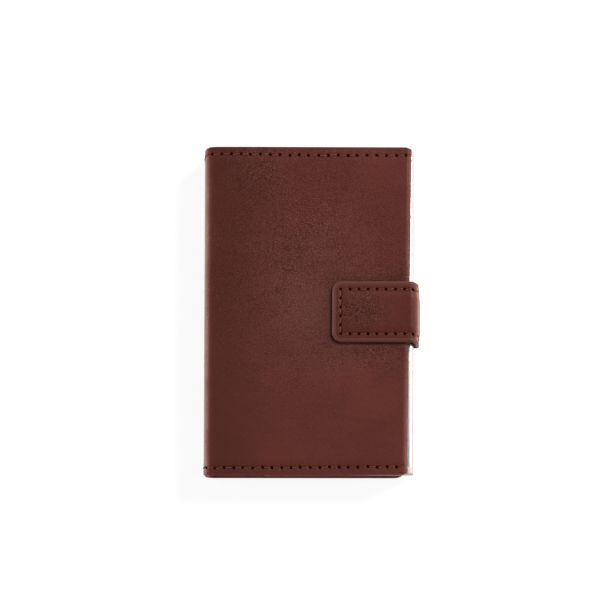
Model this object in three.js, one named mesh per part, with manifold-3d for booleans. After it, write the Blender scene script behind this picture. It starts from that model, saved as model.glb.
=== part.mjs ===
// A slim leather wallet: a leather cover folded round an aluminium card case, kept shut by a strap.
// Millimetres. X runs from the spine to the open side, Y up to the mouth of the card case, Z out through
// the front cover. The origin is the middle of the underside, and the wallet lies on its back.

import * as THREE from "three";
import { mergeVertices } from "three/addons/utils/BufferGeometryUtils.js";
import Module from "manifold-3d";

const wasm = await Module();
wasm.setup();

// Sizes of a standard bank card, and its play between the guides on each side
const cardWidth = 54;
const cardLength = 85.6;
const cardPlay = 0.3;

// Gap between pieces that fit one inside the other, and the overrun of every cut
const fitGap = 0.3;
const overrun = 1;

// Card case: an aluminium tube, closed at the bottom by a plastic base, with a guide strip at each side
const caseDepth = 8.6;
const caseWall = 0.8;
const caseEdgeRadius = 2.2;
const guideWidth = 3.1;
const guideRibs = 6;
const guideRibRadius = 0.2;
const flangeThickness = 2;
const webThickness = 0.9;
const mouthMargin = 2;

// Card pusher: a stepped arm on a pin, with a thumb tab that reaches out through the base
const pinRadius = 1.25;
const pinChamfer = 0.3;
const bossWall = 1.85;
const bossSideRoom = 3.6;
const bossFootRoom = 3.5;
const pusherSteps = 5;
const pusherStepLength = 5.6;
const armTipRoom = 2.1;
const armTipHeight = 3;
const armTipRadius = 1.1;
const armShoulder = 3;
const armRise = 1.3;
const pusherTravel = 38;
const tabWidth = 3;
const tabDepth = 3.2;
const tabTipBelowCase = 0.5;
const gripRibRadius = 0.35;
const gripRibs = 3;
const gripRibPitch = 0.8;
const scoopRadius = 12;
const scoopDepth = 1.2;

// Outer leather of back, spine and cover, with its bends
const leather = 1.3;
const coverMargin = 0.75;
const bendRadius = 3.2;
const bendGap = 0.3;
const coverCornerRadius = 1;
const backTrim = 0.1;
const backInset = 0.5;
const backCornerRadius = 5;

// Layers of the back, under the card case
const backLining = 0.6;
const padThickness = 0.3;
const boardInset = 1;
const padInset = 5;
const padCornerRadius = 3;

// Layers of the front cover, from its outer leather inwards
const stiffener = 0.8;
const coverLining = 0.6;
const slotPanel = 0.6;
const slotPanels = 2;
const pocketGap = 0.3;
const spineGap = 0.5;
const turnedLeather = 1.1;
const turnedEdgeRadius = 1.6;
const firstMouth = 11;
const mouthStep = 5;
const layerInset = 0.5;
const stiffenerInset = 4;
const closingGap = 0.3;
const magnetRadius = 5;
const magnetFromTabEnd = 9.5;

// Strap: it leaves the back through a notch in its board and goes round the open side onto the cover
const strapWidth = 19.2;
const strapMiddle = -0.85;
const strapLeather = 0.9;
const strapLining = 0.5;
const keeper = 0.3;
const strapBendRadius = 3;
const strapRootLength = 18;
const caseStandOff = 0.7;
const strapGap = 0.3;
const tabGap = 0.1;
const tabReach = 24.5;
const tabCornerRadius = 3.1;
const liningInset = 0.4;
const keeperInset = 3.4;
const keeperLength = 14;

// The pusher sets the height of the base, the cards set the case, and the case sets the leather cover
const bossRadius = pinRadius + fitGap + bossWall;
const pivotBelowCards = bossRadius + armRise + fitGap;
const pivotY = flangeThickness + bossFootRoom + bossRadius;
const cardFloor = pivotY + pivotBelowCards;
const caseLength = cardFloor + cardLength + mouthMargin;
const channelHalf = cardWidth / 2 + cardPlay;
const caseWidth = 2 * (channelHalf + guideWidth + fitGap + caseWall);
const coverHeight = caseLength + 2 * coverMargin;
const coverWidth = leather + coverLining + spineGap + caseWidth - caseStandOff;

// Places along X, from the overall width
const strapThickness = strapLeather + keeper + strapLining;
const overallWidth = coverWidth + caseStandOff + strapGap + strapThickness;
const spineX = -overallWidth / 2;
const edgeX = spineX + coverWidth;
const strapX = overallWidth / 2;
const caseX = edgeX + caseStandOff - caseWidth / 2;
const tabEndX = edgeX - tabReach;
const foldX = spineX + bendRadius;
const strapFoldX = strapX - strapBendRadius;

// Heights along Z, layer by layer
const board = strapLeather;
const boardZ = leather;
const backLiningZ = boardZ + board;
const padZ = backLiningZ + backLining;
const caseZ = padZ + padThickness;
const coverZ = caseZ + caseDepth + closingGap;
const pocketDepth = coverLining + slotPanels * slotPanel + (slotPanels + 1) * pocketGap;
const coverTopZ = coverZ + turnedLeather + pocketDepth + stiffener + leather;
const stiffenerZ = coverTopZ - leather - stiffener;
const coverLiningZ = stiffenerZ - coverLining;
const tabLiningZ = coverTopZ + tabGap;
const keeperZ = tabLiningZ + strapLining;
const tabLeatherZ = keeperZ + keeper;
const strapTopZ = tabLeatherZ + strapLeather;

// Counts and angles of round shapes
const arcSteps = 8;
const roundSides = 40;
const quarterTurn = 90;
const halfQuarter = quarterTurn / 2;

const finishes = {
  coverLeather: { color: 0x5e352f, roughness: 0.45, metalness: 0 },
  liningLeather: { color: 0x553029, roughness: 0.6, metalness: 0 },
  board: { color: 0x8a7a66, roughness: 0.9, metalness: 0 },
  adhesive: { color: 0xcfcac0, roughness: 0.7, metalness: 0 },
  aluminium: { color: 0xd9d9d8, roughness: 0.3, metalness: 1 },
  blackPlastic: { color: 0x1c1c1e, roughness: 0.5, metalness: 0 },
  palePlastic: { color: 0xcfccc7, roughness: 0.5, metalness: 0 },
  steel: { color: 0xa9abae, roughness: 0.35, metalness: 1 },
};

function piece(name, geometry, finish) {
  const mesh = new THREE.Mesh(geometry, new THREE.MeshStandardMaterial(finishes[finish]));
  mesh.name = name;
  return mesh;
}

function toSolid(geometry) {
  const bare = geometry.clone();
  bare.deleteAttribute("normal");
  bare.deleteAttribute("uv");
  const merged = mergeVertices(bare, 1e-4);
  return new wasm.Manifold(
    new wasm.Mesh({
      numProp: 3,
      vertProperties: merged.attributes.position.array,
      triVerts: new Uint32Array(merged.index.array),
    }),
  );
}

function toGeometry(solid) {
  const mesh = solid.getMesh();
  const geometry = new THREE.BufferGeometry();
  geometry.setAttribute("position", new THREE.BufferAttribute(mesh.vertProperties, 3));
  geometry.setIndex(new THREE.BufferAttribute(mesh.triVerts, 1));
  const faceted = geometry.toNonIndexed();
  faceted.computeVertexNormals();
  return faceted;
}

function joined(...geometries) {
  return toGeometry(geometries.map(toSolid).reduce((a, b) => a.add(b)));
}

function cut(geometry, ...cutters) {
  return toGeometry(cutters.map(toSolid).reduce((a, b) => a.subtract(b), toSolid(geometry)));
}

function common(a, b) {
  return toGeometry(toSolid(a).intersect(toSolid(b)));
}

// Points of an arc. Its angles are in degrees from the direction that side gives: 1 to the right, -1 to the left.
function arc(x, y, radius, from, to, side = 1) {
  const points = [];
  for (let i = 0; i <= arcSteps; i++) {
    const angle = THREE.MathUtils.degToRad(from + ((to - from) * i) / arcSteps);
    points.push(new THREE.Vector2(x + side * radius * Math.cos(angle), y + radius * Math.sin(angle)));
  }
  return points;
}

// One corner of an outline: a quarter arc, or a plain point where the radius is zero.
function corner(x, y, towardX, towardY, radius, from) {
  if (radius === 0) {
    return [new THREE.Vector2(x, y)];
  }
  return arc(x + towardX * radius, y + towardY * radius, radius, from, from + quarterTurn);
}

// A four-sided outline. Its radii are those of the lower left, lower right, upper right and upper left corners.
function outline(left, right, low, high, radii = [0, 0, 0, 0]) {
  return [
    ...corner(left, low, 1, 1, radii[0], 2 * quarterTurn),
    ...corner(right, low, -1, 1, radii[1], -quarterTurn),
    ...corner(right, high, -1, -1, radii[2], 0),
    ...corner(left, high, 1, -1, radii[3], quarterTurn),
  ];
}

// An outline in X and Y, given a thickness upwards from a height.
function sheet(points, z, thickness) {
  const shape = new THREE.Shape(points);
  return new THREE.ExtrudeGeometry(shape, { depth: thickness, bevelEnabled: false }).translate(0, 0, z);
}

// A profile in X and Z, drawn out along Y between two places.
function drawn(points, low, high) {
  const shape = new THREE.Shape(points);
  const geometry = new THREE.ExtrudeGeometry(shape, { depth: high - low, bevelEnabled: false });
  return geometry.rotateX(Math.PI / 2).translate(0, high, 0);
}

// A round bar along Z.
function bar(x, y, z, radius, length) {
  const geometry = new THREE.CylinderGeometry(radius, radius, length, roundSides);
  return geometry.rotateX(Math.PI / 2).translate(x, y, z + length / 2);
}

// Each bend is split at half its turn. This is the angle that the split takes from each half.
function splitAngle(radius) {
  return THREE.MathUtils.radToDeg(Math.asin(bendGap / 2 / radius));
}

// The half bend that a flat layer under or over the fold ends in, from the flat to the split.
function halfBend(x, z, outer, inner, side, upper) {
  const turn = upper ? 1 : -1;
  return [
    ...arc(x, z, outer, turn * quarterTurn, turn * (halfQuarter + splitAngle(outer)), side),
    ...arc(x, z, inner, turn * (halfQuarter + splitAngle(inner)), turn * quarterTurn, side),
  ];
}

// An upright layer that ends in a half bend at both ends.
function uprightLayer(x, lowZ, highZ, outer, inner, side) {
  const outerEnd = halfQuarter - splitAngle(outer);
  const innerEnd = halfQuarter - splitAngle(inner);
  return [
    ...arc(x, lowZ, outer, -outerEnd, 0, side),
    ...arc(x, highZ, outer, 0, outerEnd, side),
    ...arc(x, highZ, inner, innerEnd, 0, side),
    ...arc(x, lowZ, inner, 0, -innerEnd, side),
  ];
}

// Back of the leather cover, with the layers that carry the card case

const backRightX = edgeX - backInset;
const backLow = -coverHeight / 2 + backTrim;
const backHigh = coverHeight / 2 - backTrim;

function makeBackLeather() {
  const profile = [
    new THREE.Vector2(backRightX, 0),
    ...halfBend(foldX, bendRadius, bendRadius, bendRadius - leather, -1, false),
    new THREE.Vector2(backRightX, leather),
  ];
  const radii = [0, backCornerRadius, backCornerRadius, 0];
  const plan = outline(spineX - overrun, backRightX, backLow, backHigh, radii);
  return common(drawn(profile, backLow, backHigh), sheet(plan, -overrun, leather + bendRadius));
}

// The board and the lining are alike, but for the notch that the board has for the end of the strap.
function makeBackLayer(z, thickness) {
  const radius = backCornerRadius - boardInset;
  const left = foldX + boardInset;
  const right = backRightX - boardInset;
  const low = backLow + boardInset;
  const high = backHigh - boardInset;
  return sheet(outline(left, right, low, high, [0, radius, radius, 0]), z, thickness);
}

function makeBackBoard() {
  const left = edgeX - strapRootLength - fitGap;
  const half = strapWidth / 2 + fitGap;
  const notch = outline(left, edgeX + overrun, strapMiddle - half, strapMiddle + half);
  return cut(makeBackLayer(boardZ, board), sheet(notch, boardZ - overrun, board + 2 * overrun));
}

function makeCasePad() {
  const halfWidth = caseWidth / 2 - padInset;
  const halfLength = caseLength / 2 - padInset;
  const radii = [padCornerRadius, padCornerRadius, padCornerRadius, padCornerRadius];
  const plan = outline(caseX - halfWidth, caseX + halfWidth, -halfLength, halfLength, radii);
  return sheet(plan, padZ, padThickness);
}

function makeStrapRoot() {
  const inner = strapBendRadius - strapLeather;
  const left = edgeX - strapRootLength;
  const profile = [
    new THREE.Vector2(left, boardZ),
    ...halfBend(strapFoldX, boardZ + strapBendRadius, strapBendRadius, inner, 1, false),
    new THREE.Vector2(left, boardZ + strapLeather),
  ];
  return drawn(profile, strapMiddle - strapWidth / 2, strapMiddle + strapWidth / 2);
}

// Card case: its own frame has X and Z in the middle of the tube, and Y from the bottom of the base

const caseBottomY = -caseLength / 2;
const caseMiddleZ = caseZ + caseDepth / 2;
const bore = caseDepth - 2 * caseWall;
const boreWidth = caseWidth - 2 * caseWall;

// The rounded section of the tube, drawn in by an amount on every side.
function caseSection(inset) {
  const halfWidth = caseWidth / 2 - inset;
  const halfDepth = caseDepth / 2 - inset;
  const radius = Math.max(caseEdgeRadius - inset, 0);
  return outline(-halfWidth, halfWidth, -halfDepth, halfDepth, [radius, radius, radius, radius]);
}

function makeCaseShell() {
  const tube = drawn(caseSection(0), flangeThickness, caseLength);
  return cut(tube, drawn(caseSection(caseWall), flangeThickness - overrun, caseLength + overrun));
}

// The plug fills the tube with the fit gap all round; one side strip of it is left past the card channel.
function plugStrip(side, low, high) {
  const strip = outline(channelHalf, boreWidth, -bore, bore).map((p) => new THREE.Vector2(side * p.x, p.y));
  return common(drawn(caseSection(caseWall + fitGap), low, high), drawn(strip, low - overrun, high + overrun));
}

const pivotX = -channelHalf + bossSideRoom + bossRadius;
const armLength = channelHalf - pivotX - armTipRoom;
const tabRadius = pivotY + tabTipBelowCase;
const webZ = -bore / 2 + fitGap;
const pusherZ = webZ + webThickness + fitGap;
const pusherTopZ = bore / 2 - fitGap;

// Where the thumb tab passes through the flange: its swing to each side, with its width and a gap.
function makeTabSlot() {
  const swing = tabRadius * Math.sin(THREE.MathUtils.degToRad(pusherTravel / 2));
  const half = swing + tabWidth / 2 + gripRibRadius + fitGap;
  const slot = outline(pivotX - half, pivotX + half, pusherZ - fitGap, pusherZ + tabDepth + fitGap);
  return drawn(slot, -overrun, flangeThickness + overrun);
}

function makeScoop() {
  const depth = caseDepth + 2 * overrun;
  return bar(pivotX, scoopDepth - scoopRadius, -depth / 2, scoopRadius, depth);
}

function makeCaseBase() {
  const flange = drawn(caseSection(0), 0, flangeThickness);
  const web = common(
    drawn(caseSection(caseWall + fitGap), flangeThickness - overrun, cardFloor - overrun),
    drawn(outline(-boreWidth, boreWidth, webZ - overrun, webZ + webThickness), 0, caseLength),
  );
  const posts = [-1, 1].map((side) => plugStrip(side, flangeThickness - overrun, cardFloor));
  return cut(joined(flange, web, ...posts), makeTabSlot(), makeScoop());
}

function makeGuide(side) {
  const low = cardFloor + fitGap;
  const high = caseLength - fitGap;
  const ribs = [];
  for (let i = 0; i < guideRibs; i++) {
    const y = low + ((high - low) * (i + 1)) / (guideRibs + 1);
    const length = bore - 2 * (fitGap + caseWall);
    ribs.push(bar(side * channelHalf, y, -length / 2, guideRibRadius, length));
  }
  return joined(plugStrip(side, low, high), ...ribs);
}

// Pin of the card pusher, in the frame of its pivot: Z from the web of the base

function makePivotPin() {
  const length = pusherTopZ - webZ - webThickness;
  const profile = [
    new THREE.Vector2(0, 0),
    new THREE.Vector2(pinRadius, 0),
    new THREE.Vector2(pinRadius, length - pinChamfer),
    new THREE.Vector2(pinRadius - pinChamfer, length),
    new THREE.Vector2(0, length),
  ];
  return new THREE.LatheGeometry(profile, roundSides).rotateX(Math.PI / 2).translate(0, 0, -fitGap);
}

// One level of the arm: it reaches along the foot of the cards, flat on top and tapered below.
function armOutline(reach) {
  const top = pivotBelowCards - fitGap;
  return [
    new THREE.Vector2(-bossRadius * Math.SQRT1_2, bossRadius * Math.SQRT1_2),
    new THREE.Vector2(0, -bossRadius),
    ...arc(reach - armTipRadius, top - armTipHeight + armTipRadius, armTipRadius, -quarterTurn, 0),
    ...arc(reach - armTipRadius, top - armTipRadius, armTipRadius, 0, quarterTurn),
    new THREE.Vector2(bossRadius + armShoulder, top),
  ];
}

function makeThumbTab() {
  const neck = outline(-tabWidth / 2, tabWidth / 2, -tabRadius + tabWidth / 2, 0);
  const tip = bar(0, -tabRadius + tabWidth / 2, 0, tabWidth / 2, tabDepth);
  const ribs = [];
  for (let i = 0; i < gripRibs; i++) {
    for (const side of [-1, 1]) {
      const y = -tabRadius + tabWidth / 2 + i * gripRibPitch;
      ribs.push(bar((side * tabWidth) / 2, y, 0, gripRibRadius, tabDepth));
    }
  }
  return joined(sheet(neck, 0, tabDepth), tip, ...ribs).rotateZ(-THREE.MathUtils.degToRad(pusherTravel / 2));
}

// The levels of the arm get shorter towards the front, so that each card is lifted less than the one behind.
function makeCardPusher() {
  const thickness = pusherTopZ - pusherZ;
  const levels = [];
  for (let i = 0; i < pusherSteps; i++) {
    const reach = armLength - i * pusherStepLength;
    levels.push(sheet(armOutline(reach), 0, (thickness * (i + 1)) / pusherSteps));
  }
  const boss = bar(0, 0, 0, bossRadius, thickness);
  const hole = bar(0, 0, -overrun, pinRadius + fitGap, thickness + 2 * overrun);
  return cut(joined(boss, ...levels, makeThumbTab()), hole);
}

// Spine

function makeSpineLeather() {
  const highZ = coverTopZ - bendRadius;
  const profile = uprightLayer(foldX, bendRadius, highZ, bendRadius, bendRadius - leather, -1);
  return drawn(profile, -coverHeight / 2, coverHeight / 2);
}

function makeSpineLining() {
  const left = spineX + leather;
  const half = coverHeight / 2 - layerInset;
  return drawn(outline(left, left + coverLining, bendRadius, coverTopZ - bendRadius), -half, half);
}

// Front cover: its leather turns round the free edge and forms the innermost pocket panel

function makeCoverLeather() {
  const radius = turnedEdgeRadius;
  const mouthX = spineX + firstMouth + slotPanels * mouthStep;
  const profile = [
    ...arc(edgeX - radius, coverTopZ - radius, radius, quarterTurn, 0),
    ...arc(edgeX - radius, coverZ + radius, radius, 0, -quarterTurn),
    new THREE.Vector2(mouthX, coverZ),
    new THREE.Vector2(mouthX, coverZ + turnedLeather),
    new THREE.Vector2(edgeX - leather, coverZ + turnedLeather),
    new THREE.Vector2(edgeX - leather, coverTopZ - leather),
    ...halfBend(foldX, coverTopZ - bendRadius, bendRadius, bendRadius - leather, -1, true).reverse(),
  ];
  const half = coverHeight / 2;
  const plan = outline(spineX - overrun, edgeX, -half, half, [0, coverCornerRadius, coverCornerRadius, 0]);
  const height = coverTopZ - coverZ + 2 * overrun;
  return common(drawn(profile, -half, half), sheet(plan, coverZ - overrun, height));
}

const layerLeftX = foldX + fitGap;
const layerRightX = edgeX - leather - fitGap;
const magnetX = tabEndX + magnetFromTabEnd;

function coverLayer(left, inset, z, thickness) {
  const half = coverHeight / 2 - inset;
  return sheet(outline(left, layerRightX, -half, half), z, thickness);
}

function makeStiffener() {
  const hole = bar(magnetX, strapMiddle, stiffenerZ - overrun, magnetRadius + fitGap, stiffener + 2 * overrun);
  return cut(coverLayer(layerLeftX, stiffenerInset, stiffenerZ, stiffener), hole);
}

function makeSlotPanel(index) {
  const left = spineX + firstMouth + index * mouthStep;
  const z = coverLiningZ - (index + 1) * (pocketGap + slotPanel);
  return coverLayer(left, layerInset, z, slotPanel);
}

// Strap: round the open side, and onto the cover

function makeStrapSide(outer, inner, inset) {
  const lowZ = boardZ + strapBendRadius;
  const highZ = strapTopZ - strapBendRadius;
  const half = strapWidth / 2 - inset;
  const profile = uprightLayer(strapFoldX, lowZ, highZ, outer, inner, 1);
  return drawn(profile, strapMiddle - half, strapMiddle + half);
}

function makeTabLayer(outer, inner, inset) {
  const z = strapTopZ - strapBendRadius;
  const left = tabEndX + inset;
  const half = strapWidth / 2 - inset;
  const radius = tabCornerRadius - inset;
  const profile = [
    new THREE.Vector2(left, z + outer),
    ...halfBend(strapFoldX, z, outer, inner, 1, true),
    new THREE.Vector2(left, z + inner),
  ];
  const low = strapMiddle - half;
  const high = strapMiddle + half;
  const plan = outline(left, strapX + overrun, low, high, [radius, 0, 0, radius]);
  return common(drawn(profile, low, high), sheet(plan, z, strapBendRadius + overrun));
}

function makeKeeper() {
  const left = tabEndX + keeperInset;
  const half = strapWidth / 2 - keeperInset;
  return sheet(outline(left, left + keeperLength, strapMiddle - half, strapMiddle + half), keeperZ, keeper);
}

// The groups are the pieces that move together, each in the one that carries it

const liningOuter = strapBendRadius - strapLeather - keeper;
const liningInner = liningOuter - strapLining;
const leatherInner = strapBendRadius - strapLeather;

const pusher = new THREE.Group();
pusher.position.set(pivotX, pivotY, pusherZ);
pusher.add(piece("card_pusher", makeCardPusher(), "blackPlastic"));

const pinGroup = new THREE.Group();
pinGroup.position.copy(pusher.position);
pinGroup.add(piece("pivot_pin", makePivotPin(), "steel"));

const cardCase = new THREE.Group();
cardCase.position.set(caseX, caseBottomY, caseMiddleZ);
cardCase.add(
  piece("case_shell", makeCaseShell(), "aluminium"),
  piece("case_base", makeCaseBase(), "palePlastic"),
  piece("card_guide_left", makeGuide(-1), "blackPlastic"),
  piece("card_guide_right", makeGuide(1), "blackPlastic"),
  pinGroup,
  pusher,
);

const strapTab = new THREE.Group();
strapTab.add(
  piece("strap_tab_leather", makeTabLayer(strapBendRadius, leatherInner, 0), "coverLeather"),
  piece("strap_tab_lining", makeTabLayer(liningOuter, liningInner, liningInset), "liningLeather"),
  piece("tab_keeper", makeKeeper(), "steel"),
);

const strapSide = new THREE.Group();
strapSide.add(
  piece("strap_side_leather", makeStrapSide(strapBendRadius, leatherInner, 0), "coverLeather"),
  piece("strap_side_lining", makeStrapSide(liningOuter, liningInner, liningInset), "liningLeather"),
  strapTab,
);

const cover = new THREE.Group();
cover.add(
  piece("cover_leather", makeCoverLeather(), "coverLeather"),
  piece("cover_stiffener", makeStiffener(), "board"),
  piece("cover_lining", coverLayer(layerLeftX, layerInset, coverLiningZ, coverLining), "liningLeather"),
  piece("slot_panel_rear", makeSlotPanel(0), "liningLeather"),
  piece("slot_panel_front", makeSlotPanel(1), "liningLeather"),
  piece("cover_magnet", bar(magnetX, strapMiddle, stiffenerZ, magnetRadius, stiffener), "steel"),
);

const spine = new THREE.Group();
spine.add(
  piece("spine_leather", makeSpineLeather(), "coverLeather"),
  piece("spine_lining", makeSpineLining(), "liningLeather"),
  cover,
);

const wallet = new THREE.Group();
wallet.name = "wallet";
wallet.add(
  piece("back_leather", makeBackLeather(), "coverLeather"),
  piece("back_board", makeBackBoard(), "board"),
  piece("back_lining", makeBackLayer(backLiningZ, backLining), "liningLeather"),
  piece("case_pad", makeCasePad(), "adhesive"),
  piece("strap_root", makeStrapRoot(), "coverLeather"),
  cardCase,
  strapSide,
  spine,
);

export default wallet;
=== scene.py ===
"""Looks of the wallet: its leather, stitching, card case and stage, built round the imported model."""

import math

import bmesh
import bpy
import numpy as np
from mathutils import Matrix, Vector, noise


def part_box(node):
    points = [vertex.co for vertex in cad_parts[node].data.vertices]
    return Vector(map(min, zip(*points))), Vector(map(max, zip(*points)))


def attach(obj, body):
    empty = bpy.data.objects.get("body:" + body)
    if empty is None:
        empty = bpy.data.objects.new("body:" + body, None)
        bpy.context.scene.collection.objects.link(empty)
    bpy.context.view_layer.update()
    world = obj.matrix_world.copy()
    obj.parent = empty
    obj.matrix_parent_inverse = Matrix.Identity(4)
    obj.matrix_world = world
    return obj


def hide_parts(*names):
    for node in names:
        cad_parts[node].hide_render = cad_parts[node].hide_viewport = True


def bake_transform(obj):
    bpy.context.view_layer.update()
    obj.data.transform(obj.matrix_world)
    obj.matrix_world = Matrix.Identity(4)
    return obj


bl_info = {
    "name": "Card case wallet",
    "version": (1, 0, 0),
    "blender": (4, 5, 0),
    "location": "3D View > Sidebar > Wallet",
    "description": "Leather, stitching, card case and stage of a slim wallet",
    "category": "Object",
}

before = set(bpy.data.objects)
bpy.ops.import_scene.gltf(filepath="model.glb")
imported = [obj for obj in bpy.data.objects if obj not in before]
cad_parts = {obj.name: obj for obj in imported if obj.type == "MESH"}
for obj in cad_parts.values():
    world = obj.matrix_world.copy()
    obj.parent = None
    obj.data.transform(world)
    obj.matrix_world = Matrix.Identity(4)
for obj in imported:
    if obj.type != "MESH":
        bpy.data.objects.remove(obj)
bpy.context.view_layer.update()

MM = 0.001
WELD = 1e-6
TINY = 1e-9

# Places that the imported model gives, in metres
SPINE_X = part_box("spine_leather")[0].x
EDGE_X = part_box("cover_leather")[1].x
BACK_EDGE_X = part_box("back_leather")[1].x
COVER_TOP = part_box("cover_leather")[1].z
COVER_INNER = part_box("cover_leather")[0].z
COVER_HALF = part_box("cover_leather")[1].y
BACK_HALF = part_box("back_leather")[1].y
STRAP_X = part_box("strap_side_leather")[1].x
STRAP_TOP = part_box("strap_tab_leather")[1].z
TAB_END_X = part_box("strap_tab_leather")[0].x
TAB_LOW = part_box("strap_tab_leather")[0].y
TAB_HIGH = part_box("strap_tab_leather")[1].y
ROOT_X, _, ROOT_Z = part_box("strap_root")[0]


def length_prop(name, description, default):
    return bpy.props.FloatProperty(name=name, description=description, default=default, unit="LENGTH")


def power_prop(name, description, default):
    return bpy.props.FloatProperty(name=name, description=description, default=default, unit="POWER")


def angle_prop(name, description, degrees):
    default = math.radians(degrees)
    return bpy.props.FloatProperty(name=name, description=description, default=default, subtype="ANGLE")


def color_prop(name, description, default):
    return bpy.props.FloatVectorProperty(
        name=name, description=description, default=(*default, 1.0), subtype="COLOR", size=4
    )


class WalletLeather(bpy.types.PropertyGroup):
    """Sizes and colours of the outer leather and its linings."""

    thickness: length_prop("Thickness", "Thickness of the outer leather", 0.0013)
    turned_thickness: length_prop("Turned thickness", "Thickness past the turned edge", 0.0011)
    bend_radius: length_prop("Bend radius", "Outer radius of both spine bends", 0.0032)
    turned_radius: length_prop("Turned edge radius", "Outer radius of the turned edge", 0.0016)
    edge_round: length_prop("Edge rounding", "Radius worked onto the cut edges", 0.00035)
    cover_corner: length_prop("Cover corner", "Corner radius at the free edge", 0.0006)
    back_corner: length_prop("Back corner", "Corner radius of the back", 0.005)
    color: color_prop("Leather", "Colour of the leather", (0.1110, 0.0187, 0.0108))
    deep_color: color_prop("Deep leather", "Colour in creases and shaded places", (0.050, 0.0066, 0.0034))
    dyed_color: color_prop("Jacket edge", "Colour of the jacket's dyed edges", (0.135, 0.016, 0.020))
    edge_color: color_prop("Worked edge", "Colour of the other burnished edges", (0.112, 0.0320, 0.0240))
    lining_color: color_prop("Lining", "Colour of the lining leather", (0.085, 0.0220, 0.0150))


class WalletStitching(bpy.types.PropertyGroup):
    """Sizes and colour of the stitching."""

    pitch: length_prop("Stitch length", "From hole to hole on the cover", 0.00303)
    strap_pitch: length_prop("Strap stitch length", "From hole to hole on the strap", 0.00285)
    inset: length_prop("Seam inset", "From the edge of the cover to its seam", 0.0023)
    strap_inset: length_prop("Strap seam inset", "From the edge of the strap to its seam", 0.0026)
    thread: length_prop("Thread", "Diameter of the thread", 0.00034)
    hole_length: length_prop("Hole length", "Length of one slanted hole", 0.0013)
    hole_width: length_prop("Hole width", "Width of one slanted hole", 0.0009)
    slant: angle_prop("Slant", "Turn of the holes from the line of the seam", -32)
    color: color_prop("Thread", "Colour of the thread", (0.22, 0.058, 0.040))


class WalletStrap(bpy.types.PropertyGroup):
    """Sizes of the strap."""

    thickness: length_prop("Thickness", "Thickness of the strap's leather", 0.0009)
    bend_radius: length_prop("Bend radius", "Outer radius of both strap bends", 0.003)
    corner: length_prop("Tab corner", "Corner radius of the tab", 0.0031)
    edge_round: length_prop("Edge rounding", "Radius worked onto the strap's edges", 0.0008)
    lining: length_prop("Lining", "Thickness of the strap's lining", 0.0005)


class WalletStage(bpy.types.PropertyGroup):
    """Camera and lamps."""

    distance: length_prop("Distance", "From the camera to the wallet", 2.2)
    view_width: length_prop("View width", "Width that the camera sees at the wallet", 0.1875)
    aim: bpy.props.FloatVectorProperty(
        name="Aim", description="Point in the middle of the picture", subtype="TRANSLATION", size=3,
        default=(-0.0036, 0.0031, 0.018),
    )
    below: angle_prop("Below", "How far the camera looks up from below", 5.8)
    aside: angle_prop("Aside", "How far the camera looks from the right", 1.8)
    roll: angle_prop("Roll", "Turn of the camera about its own line of sight", 0.2)
    right: power_prop("Right", "Power of the right softbox", 9.0)
    left: power_prop("Left", "Power of the left softbox", 14.0)
    above: power_prop("Above", "Power of the upper softbox", 17.0)


def settings(name):
    return getattr(bpy.context.scene, "wallet_" + name)


# Shapes of soft changes


def smooth(share):
    share = np.clip(share, 0.0, 1.0)
    return share * share * (3.0 - 2.0 * share)


def ramp(value, low, high):
    """0 up to low, 1 from high on, and smooth between them."""
    return smooth((value - low) / (high - low))


def hump(distance, width, power=2):
    """1 where the distance is nought, and almost nothing past twice the width."""
    return np.exp(-((distance / width) ** power))


def patch(x, y, oval):
    """A soft oval. It is given by its middle in X and Y and its reach in X and Y, in millimetres."""
    middle_x, middle_y, reach_x, reach_y = (MM * value for value in oval)
    return hump(x - middle_x, reach_x) * hump(y - middle_y, reach_y)


# Sheets of leather


class FoldLine:
    """The line in X and Z that the face of a sheet follows, from one end to the other."""

    def __init__(self, x, z, heading):
        self.spans = []
        self.end = (x, z, math.radians(heading))
        self.length = 0.0

    def run(self, length):
        return self._add(length, 0.0)

    def turn(self, radius, degrees):
        return self._add(radius * math.radians(abs(degrees)), math.radians(degrees))

    def _add(self, length, angle):
        span = (length, angle, *self.end)
        self.spans.append((self.length, span))
        self.length += length
        self.end = tuple(float(value) for value in self._along(np.array(length), *span))
        return self

    @staticmethod
    def _along(distance, length, angle, x, z, heading):
        if angle == 0.0:
            now = heading + 0.0 * distance
            return x + distance * math.cos(heading), z + distance * math.sin(heading), now
        bend = angle / length
        now = heading + bend * distance
        return (
            x + (np.sin(now) - math.sin(heading)) / bend,
            z - (np.cos(now) - math.cos(heading)) / bend,
            now,
        )

    def start_of(self, index):
        return self.spans[index][0]

    def middle_of(self, index):
        start, span = self.spans[index]
        return start + span[0] / 2

    def place(self, along, across, lift):
        """Points at these distances along the line and across it, raised by lift off the face."""
        x, z, heading = (np.zeros(len(along)) for _ in range(3))
        for start, span in self.spans:
            inside = along >= start if start > 0.0 else np.full(len(along), True)
            x[inside], z[inside], heading[inside] = self._along(along[inside] - start, *span)
        return np.column_stack([x - lift * np.sin(heading), across, z + lift * np.cos(heading)])

    def placer(self, settle=None, draw=None):
        """How to place points that are first drawn while flat, then folded, and then settled."""

        def placed(along, across, lift):
            if draw:
                across = draw(along, across)
            points = self.place(along, across, lift)
            return settle(points) if settle else points

        return placed


# Places along a sheet are never closer than this
CLOSEST = 0.05 * MM


def spaced(start, end, step, anchor=0.0, edges=(), free=(False, False)):
    """Places from start to end: one every step, counted from anchor, and closer ones near a free end."""
    first = math.ceil((start - anchor) / step)
    last = math.floor((end - anchor) / step)
    places = [(start, 0), (end, 0)]
    for near in edges:
        places += [(place, 1) for place, is_free in zip((start + near, end - near), free) if is_free]
    places += [(anchor + step * i, 2) for i in range(first, last + 1)]
    kept = []
    for place, _ in sorted(places, key=lambda item: item[1]):
        if start <= place <= end and all(abs(place - other) > CLOSEST for other in kept):
            kept.append(place)
    return sorted(kept)


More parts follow.
